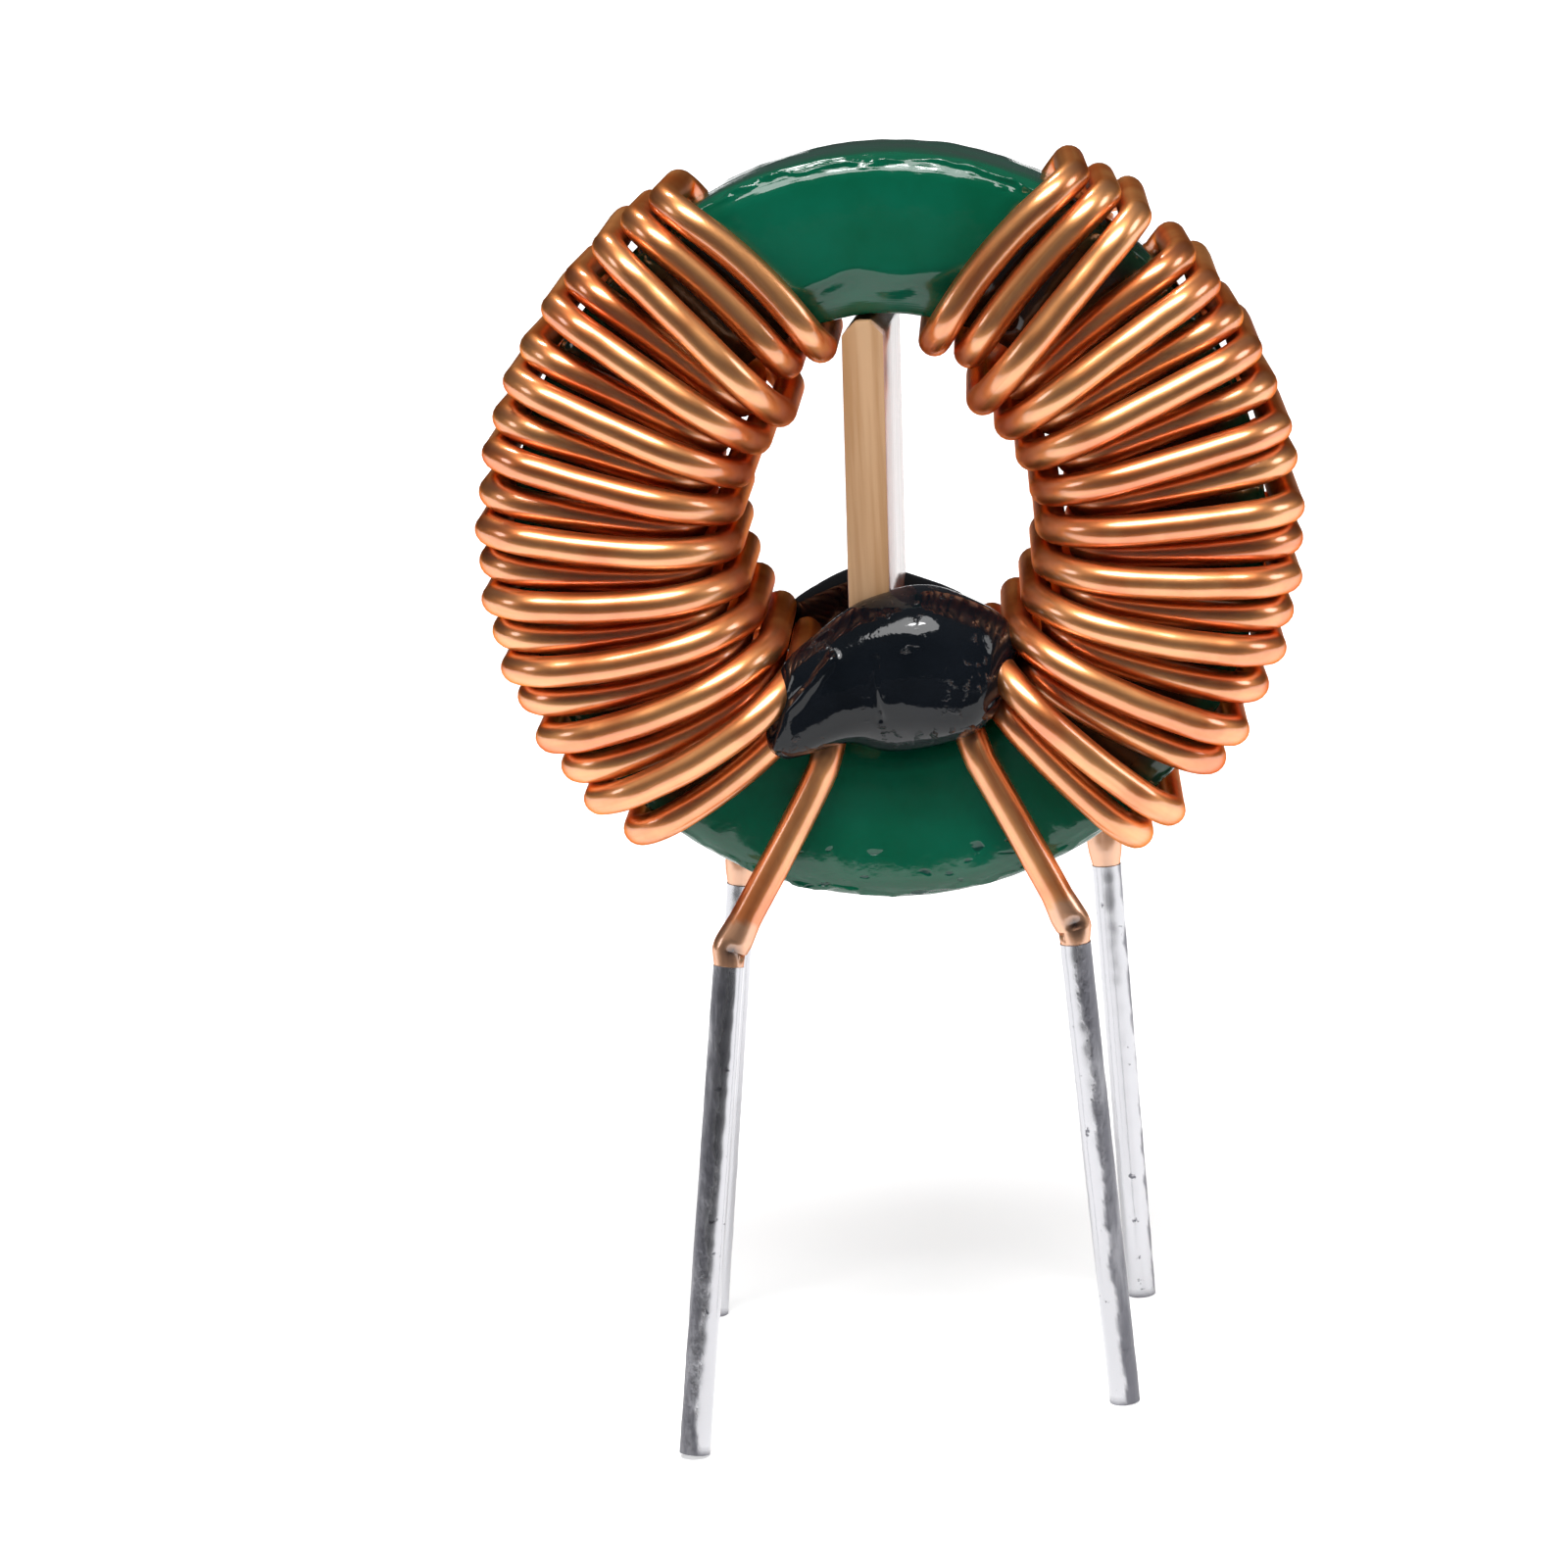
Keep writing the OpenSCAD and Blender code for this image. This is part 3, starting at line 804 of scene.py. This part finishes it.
def draw_wire(name, wire):
    """A tube along the points, turned into a mesh."""
    path = bpy.data.curves.new(name, "CURVE")
    path.dimensions = "3D"
    path.bevel_depth = (WIRE_R - SHRINK) * MM
    path.bevel_resolution = TUBE_STEPS
    path.use_fill_caps = True
    spline = path.splines.new("POLY")
    spline.points.add(len(wire) - 1)
    for spot, (point, radius) in zip(spline.points, wire):
        spot.co = (*(point * MM), 1)
        spot.radius = radius / WIRE_R
    tube = bpy.data.objects.new(name, path)
    scene.collection.objects.link(tube)
    pick_only(tube)
    bpy.ops.object.convert(target="MESH")
    bpy.ops.object.shade_smooth()
    return bpy.context.object


coils = {side: draw_wire(name, coil_points(side)) for side, name in ((-1, "left_coil"), (1, "right_coil"))}
for coil in coils.values():
    coil.data.uv_layers[0].name = "wire_map"
print("coils:", [coil.name for coil in coils.values()])

# %% [markdown]
# ## Scraped ends
#
# Before a leg is dipped in solder, the enamel is scraped off its wire end with a blade, which flattens the
# copper a little and leaves a ragged border and a nick. The nick is pressed into the mesh, and how bare
# each corner is and how dark it is made at the nick gets stored on the mesh, for the finish to read.

# %% Scrape the wire ends
BARE_REACH = 1.7
BARE_RAGGED = 0.35
BARE_BORDER = 0.2
SWELL = 0.1
SWELL_AT = 1
SWELL_REACH = 0.8
NICK_R = 0.34
NICK_DEEP = 0.2
nick_up = {-1: 0.55, 1: 0.75}


def scrape(coil, side):
    """Swells the scraped ends, presses the nicks and stores how bare each corner is and how dark it is at
    the nick.
    """
    tops = [leg_ends(side, face)[1] for face in (-1, 1)]
    tip, top = leg_ends(side, -1)
    nick = top + (top - tip).normalized() * nick_up[side] + Vector((0.1, -WIRE_R, 0))
    bare = coil.data.attributes.new("bare", "FLOAT", "POINT")
    nick_dark = coil.data.attributes.new("nick_dark", "FLOAT", "POINT")
    outwards = [corner.normal.copy() for corner in coil.data.vertices]
    for index, corner in enumerate(coil.data.vertices):
        spot = corner.co / MM
        gap = min((spot - end).length for end in tops)
        if gap > 2 * BARE_REACH:
            continue
        ragged = gap + BARE_RAGGED * noise.noise(spot * 2.5)
        bare.data[index].value = max(0, min(1, (BARE_REACH - ragged) / BARE_BORDER))
        swell = SWELL * max(0, 1 - abs(gap - SWELL_AT) / SWELL_REACH) * abs(outwards[index].x)
        to_nick = (spot - nick).length
        press = NICK_DEEP * max(0, 1 - to_nick / NICK_R)
        nick_dark.data[index].value = max(0, min(1, 1.4 - to_nick / NICK_R))
        corner.co += outwards[index] * (swell - press) * MM


for side, coil in coils.items():
    scrape(coil, side)
print("scraped ends reach", BARE_REACH, "mm above the tin")

# %% [markdown]
# ## Enamelled copper
#
# The clear amber enamel tints the copper and lies on it like a varnish. Both are shown: the metal with a
# warm base colour whose edges go to a deep orange, and a thin coat over it. The coat fades where the wire
# turns away, because it would mirror the pale room there and hide the orange. The wire is not mirror
# bright, so its highlights are wide and soft. The scraped ends are paler, and the nicks are dark.

# %% Mix the enamelled copper
finish, tree, shader = new_finish("enamelled_copper")
deep_enamel = (0.76, 0.21, 0.052, 1)
light_enamel = (0.95, 0.42, 0.15, 1)
bare_copper = (0.8, 0.42, 0.24, 1)
nick_brown = (0.05, 0.018, 0.01, 1)
edge_orange = (0.62, 0.28, 0.12, 1)
scratches = draw_lines(tree, 30, 3)
streaks = reckon(tree, "MULTIPLY", patches(tree, 240, 0.3, 0.6), fade(tree, scratches, 0.3, 0.55))
enamel = mix_colour(tree, streaks, deep_enamel, light_enamel)
copper = mix_colour(tree, stored(tree, "bare"), enamel, bare_copper)
tree.links.new(mix_colour(tree, stored(tree, "nick_dark"), copper, nick_brown), shader.inputs["Base Color"])
tree.links.new(spread(tree, scratches, 0.34, 0.46), shader.inputs["Roughness"])
shader.inputs["Metallic"].default_value = 1
shader.inputs["Specular Tint"].default_value = edge_orange
turned_away = add_node(tree, "ShaderNodeLayerWeight", {"Blend": 0.5}).outputs["Facing"]
tree.links.new(fade(tree, turned_away, 0.85, 0.45), shader.inputs["Coat Weight"])
shader.inputs["Coat Roughness"].default_value = 0.15
shader.inputs["Coat IOR"].default_value = 2
fine = bump(tree, shader, scratches, 0.08, 0.02)
bump(tree, shader, patches(tree, 900, 0.3, 0.7), 0.1, 0.03, fine)
enamelled_copper = finish
for side, node in ((-1, "left_winding"), (1, "right_winding")):
    hand_over(coils[side], node, enamelled_copper)

# %% [markdown]
# ## Divider board
#
# A strip of vulcanised fibre stands in the bore and keeps the two coils apart. It is punched from sheet,
# so its narrow edge shows the pressed layers and its broad faces are smooth and paler. The faces' pale
# colour is partly their own and partly painted light, for the bright room they face. A cube is stretched
# to the board, its ends are sloped with a wide bevel and its other edges are eased with a narrow one.

# %% Mix the fibreboard
finish, tree, shader = new_finish("fibreboard")
fibre_tan = (0.43, 0.235, 0.105, 1)
fibre_pale = (0.53, 0.325, 0.175, 1)
# The broad faces are paler partly by their own colour and partly by painted light, standing for the bright
# room they catch.
pale_face_and_painted_light = (0.8, 0.58, 0.54, 1)
amber_stain = (0.36, 0.15, 0.04, 1)
STAIN_TOP = 27.5
STAIN_FULL = 25.5
layers = patches(tree, 2400, 0.35, 0.65, 0.04)
edge_colour = mix_colour(tree, layers, fibre_tan, fibre_pale)
where = add_node(tree, "ShaderNodeTexCoord")
facing = add_node(tree, "ShaderNodeSeparateXYZ")
tree.links.new(where.outputs["Normal"], facing.inputs[0])
broad = fade(tree, reckon(tree, "ABSOLUTE", facing.outputs["X"]), 0.6, 0.9)
clean_fibre = mix_colour(tree, broad, edge_colour, pale_face_and_painted_light)
height = add_node(tree, "ShaderNodeSeparateXYZ")
tree.links.new(where.outputs["Object"], height.inputs[0])
foot = fade(tree, height.outputs["Z"], STAIN_TOP * MM, STAIN_FULL * MM)
stain = reckon(tree, "MULTIPLY", foot, patches(tree, 700, 0.3, 0.6))
tree.links.new(mix_colour(tree, stain, clean_fibre, amber_stain), shader.inputs["Base Color"])
rough_edge = spread(tree, layers, 0.5, 0.75)
smooth_face = spread(tree, broad, 1, 0.26)
tree.links.new(reckon(tree, "MULTIPLY", rough_edge, smooth_face), shader.inputs["Roughness"])
bump(tree, shader, layers, 0.12, 0.03)
fibreboard = finish
print("finish:", finish.name)

# %% Shape the divider
BOARD_T = 1.4
BOARD_INSET = 0.1
BOARD_GAP = 0.1
BOARD_SLOPE = 0.45
BOARD_OFF = 0.5
BOARD_LEAN = math.radians(2)
BOARD_TURN = math.radians(2.8)
BOARD_EASE = 0.07


def pick_edges(piece, test):
    """Selects the edges whose two ends pass the test, and enters edit mode."""
    pick_only(piece)
    bpy.ops.object.mode_set(mode="EDIT")
    bpy.context.tool_settings.mesh_select_mode = (False, True, False)
    bpy.ops.mesh.select_all(action="DESELECT")
    bpy.ops.object.mode_set(mode="OBJECT")
    corners = piece.data.vertices
    for edge in piece.data.edges:
        edge.select = test(*(corners[index].co / MM for index in edge.vertices))
    bpy.ops.object.mode_set(mode="EDIT")


board_long = 2 * (bore_r - BOARD_GAP)
bpy.ops.object.select_all(action="DESELECT")
bpy.ops.mesh.primitive_cube_add(size=1)
divider = bpy.context.object
divider.name = "divider"
divider.scale = Vector((BOARD_T, 2 * (half_h - BOARD_INSET), board_long)) * MM
settle(divider)
pick_edges(divider, lambda a, b: abs(a.z - b.z) + abs(a.x - b.x) < BOARD_EASE)
bpy.ops.mesh.bevel(offset=BOARD_SLOPE * MM, segments=1, affect="EDGES")
bpy.ops.mesh.select_all(action="SELECT")
bpy.ops.mesh.bevel(offset=BOARD_EASE * MM, segments=2, affect="EDGES")
bpy.ops.object.mode_set(mode="OBJECT")
divider.rotation_euler = (0, BOARD_LEAN, -BOARD_TURN)
divider.location = Vector((-BOARD_OFF, 0, core_middle.z)) * MM
settle(divider)
clean_mesh(divider)
bpy.ops.object.shade_smooth_by_angle(angle=math.radians(30))
hand_over(divider, "divider_board", fibreboard)

# %% [markdown]
# ## Black glue
#
# A lump of black epoxy is poured into the bottom of the bore over the board's foot and the ends of the
# coils. It has no straight line anywhere. Balls are placed where it swells, the balls of each lump are
# wrapped in a skin, and the lumps are melted together with a remesh and smoothed, as the liquid glue
# smoothed itself.

# %% Mix the black epoxy
finish, tree, shader = new_finish("black_epoxy")
deep_black = (0.003, 0.0045, 0.0065, 1)
soft_black = (0.005, 0.007, 0.01, 1)
black = mix_colour(tree, patches(tree, 300, 0.35, 0.65), deep_black, soft_black)
tree.links.new(black, shader.inputs["Base Color"])
tree.links.new(spread(tree, patches(tree, 700, 0.45, 0.75), 0.05, 0.14), shader.inputs["Roughness"])
shader.inputs["IOR"].default_value = 1.4
soft_dents = bump(tree, shader, patches(tree, 350, 0.25, 0.8), 0.18, 0.12)
crumbs = reckon(tree, "MULTIPLY", patches(tree, 2600, 0.56, 0.66), patches(tree, 320, 0.5, 0.6))
bump(tree, shader, crumbs, 0.8, 0.07, soft_dents)
black_epoxy = finish
print("finish:", finish.name)

# %% Melt the glue together from lumps
VOXEL = 0.14
SMOOTH_ROUNDS = 165
dome = (0.12, -0.56, -0.58, 0.35)
right_shoulder = (0.4, -0.58, -0.54, 0.19)
lower_right = (0.28, -0.71, -0.75, 0.21)
lower_left = (-0.18, -0.69, -0.7, 0.21)
left_shoulder = (-0.1, -0.6, -0.5, 0.22)
left_side = (-0.4, -0.69, -0.65, 0.17)
tail = (-0.53, -0.73, -0.91, 0.12)
chin = (0.08, -0.64, -0.85, 0.17)
foot_cover = (-0.08, -0.62, -0.88, 0.15)
middle = (-0.05, 0, -0.8, 0.18)
middle_left = (-0.36, 0, -0.78, 0.14)
middle_right = (0.34, 0, -0.78, 0.14)
back_low = (-0.12, 0.45, -0.8, 0.16)
back_chin = (-0.1, 0.59, -0.85, 0.16)
heap = (-0.15, 0.56, -0.6, 0.3)
heap_left = (-0.42, 0.56, -0.62, 0.2)
heap_right = (0.2, 0.56, -0.65, 0.22)
lumps = (
    (dome, right_shoulder, lower_right),
    (dome, lower_right, chin, foot_cover, lower_left),
    (dome, left_shoulder, left_side, lower_left),
    (left_side, tail, lower_left),
    (dome, middle),
    (left_side, middle_left, middle),
    (right_shoulder, middle_right, middle),
    (middle_left, middle, back_low),
    (middle_right, middle, back_low),
    (back_low, back_chin, heap_left, heap),
    (back_low, back_chin, heap_right, heap),
)


def join_all(pieces):
    """Joins pieces into the first one."""
    bpy.ops.object.select_all(action="DESELECT")
    for piece in pieces:
        piece.select_set(True)
    bpy.context.view_layer.objects.active = pieces[0]
    bpy.ops.object.join()
    return pieces[0]


def wrap_lump(balls):
    """One skin over several balls, given as shares of the bore's radius."""
    made = []
    for across, along, up, size in balls:
        at = Vector((across * bore_r, along * bore_r, core_middle.z + up * bore_r)) * MM
        ball_r = size * bore_r * MM
        bpy.ops.mesh.primitive_uv_sphere_add(segments=24, ring_count=12, radius=ball_r, location=at)
        made.append(bpy.context.object)
    lump = join_all(made)
    settle(lump)
    bpy.ops.object.mode_set(mode="EDIT")
    bpy.ops.mesh.select_all(action="SELECT")
    bpy.ops.mesh.convex_hull()
    bpy.ops.object.mode_set(mode="OBJECT")
    return lump


glue = join_all([wrap_lump(balls) for balls in lumps])
glue.name = "glue"
apply_modifier(glue, "REMESH", mode="VOXEL", voxel_size=VOXEL * MM)
apply_modifier(glue, "SMOOTH", factor=0.5, iterations=SMOOTH_ROUNDS)
apply_modifier(glue, "SUBSURF", levels=1, render_levels=1)
clean_mesh(glue)
bpy.ops.object.shade_smooth()
print("glue corners:", len(glue.data.vertices))

# %% Draw the crease and the tail's lip in the glue
CREASE_WIDE = 0.13
CREASE_DEEP = 0.12
LIP_WIDE = 0.16
LIP_HIGH = 0.18
LINE_WAVER = 0.08
FRONT_FROM = -0.2
crease_line = ((-0.63, 26.7), (-0.7, 25.7), (-0.6, 24.6))
lip_line = ((-4.1, 23.8), (-3.6, 25), (-2.6, 26.1), (-2.05, 26.7))


def off_line(spot, line):
    """Distance of a point from a line of stretches, as seen from the front."""
    seen_at = Vector((spot.x, spot.z))
    gaps = []
    for start, end in zip(line, line[1:]):
        run = Vector(end) - Vector(start)
        share = max(0, min(1, (seen_at - Vector(start)).dot(run) / run.length_squared))
        gaps.append((seen_at - Vector(start) - run * share).length)
    return min(gaps)


outwards = [corner.normal.copy() for corner in glue.data.vertices]
for corner, outward in zip(glue.data.vertices, outwards):
    if outward.y > FRONT_FROM:
        continue
    spot = corner.co / MM
    waver = Vector((LINE_WAVER * noise.noise(spot * 1.5), 0, 0))
    crease = math.exp(-(off_line(spot + waver, crease_line) / CREASE_WIDE) ** 2)
    lip = math.exp(-(off_line(spot + waver, lip_line) / LIP_WIDE) ** 2)
    corner.co += outward * (LIP_HIGH * lip - CREASE_DEEP * crease) * MM
hand_over(glue, "epoxy_glue", black_epoxy)

# %% [markdown]
# ## Tinned legs
#
# The stripped wire ends were dipped in solder, which ran down to one side and left the other side thin and
# dull, with a wavering border between them. That side is also painted dark, as a painted reflection of the
# dim room. Each skin starts as a cylinder along its leg. It is cut into many rings, each ring is pushed in
# or out by a slow noise, and how dull and painted dark each corner is gets stored on the mesh. The ends
# were cut with pliers, so they are flat and a little darker.

# %% Mix the solder
finish, tree, shader = new_finish("solder")
# The dark tin colour is the real colour of dull tin, cut ends and specks, and also a painted dark
# reflection on one side of each leg.
dull_tin_and_painted_dark = (0.16, 0.16, 0.18, 1)
bright_tin = (0.56, 0.56, 0.585, 1)
blotches = spread(tree, patches(tree, 1500, 0.3, 0.6, 0.15), 0.6, 1)
dull_and_painted_dark = reckon(tree, "MULTIPLY", stored(tree, "dull_and_painted_dark"), blotches)
specks = patches(tree, 2200, 0.66, 0.72)
tin = mix_colour(tree, dull_and_painted_dark, bright_tin, dull_tin_and_painted_dark)
tree.links.new(mix_colour(tree, specks, tin, dull_tin_and_painted_dark), shader.inputs["Base Color"])
tree.links.new(spread(tree, dull_and_painted_dark, 0.2, 0.42), shader.inputs["Roughness"])
shader.inputs["Metallic"].default_value = 1
long_dents = bump(tree, shader, patches(tree, 1000, 0.25, 0.75, 0.2), 0.12, 0.05)
grain = reckon(tree, "MULTIPLY", stored(tree, "dull_and_painted_dark"), patches(tree, 3200, 0.35, 0.65, 0.4))
bump(tree, shader, grain, 0.35, 0.05, long_dents)
solder = finish
print("finish:", finish.name)

# %% Dip the four legs
TIN_R = 0.54
TIN_RINGS = 120
LUMP_HIGH = 0.02
CUT_LONG = 0.25
SLOW_WAVER = 22
FINE_WAVER = 10
DULL_PAINTED_BORDER = 12
# Between these angles each leg is painted dark: partly thin dull tin, partly a painted reflection of the
# dim room.
dull_painted_from = {"front_left": -115, "front_right": 5, "back_left": -179, "back_right": 60}
dull_painted_to = {"front_left": 0, "front_right": 120, "back_left": -150, "back_right": 80}


def dip_leg(name, tip, top):
    """A lumpy skin of solder from the tip to the tinned top of a leg, dull and painted dark between two
    angles.
    """
    run = top - tip
    bpy.ops.object.select_all(action="DESELECT")
    bpy.ops.mesh.primitive_cylinder_add(vertices=40, radius=TIN_R * MM, depth=run.length * MM)
    skin = bpy.context.object
    skin.name = name + "_skin"
    half = run.length / 2
    pick_edges(skin, lambda a, b: abs(a.z - b.z) > half)
    bpy.ops.mesh.subdivide(number_cuts=TIN_RINGS)
    bpy.ops.object.mode_set(mode="OBJECT")
    skin.rotation_euler = run.to_track_quat("Z", "Y").to_euler()
    skin.location = (tip + top) / 2 * MM
    settle(skin)
    dull_and_painted_dark = skin.data.attributes.new("dull_and_painted_dark", "FLOAT", "POINT")
    axis = run.normalized()
    for index, corner in enumerate(skin.data.vertices):
        spot = corner.co / MM
        along = (spot - tip).dot(axis)
        out = spot - tip - axis * along
        slow = spot * 0.9 + Vector((0, 0, along * 0.4)) + tip
        lump = noise.noise(slow) + 0.5 * noise.noise(slow * 2.3)
        corner.co = (tip + axis * along + out * (1 + LUMP_HIGH * (lump - 1.2))) * MM
        facing = math.degrees(math.atan2(out.x, -out.y))
        waver = SLOW_WAVER * noise.noise(Vector((0, 0, along * 0.9)) + tip)
        waver += FINE_WAVER * noise.noise(spot * 3)
        inside = min(facing - dull_painted_from[name] + waver, dull_painted_to[name] - facing + waver)
        cut = max(0, 1 - along / CUT_LONG)
        dull_and_painted_dark.data[index].value = max(0, min(1, max(inside / DULL_PAINTED_BORDER + 0.5, cut)))
    clean_mesh(skin)
    bpy.ops.object.shade_smooth_by_angle(angle=math.radians(50))
    return skin


for (side, face), name in leg_names.items():
    hand_over(dip_leg(name, *leg_ends(side, face)), "tin_" + name, solder)
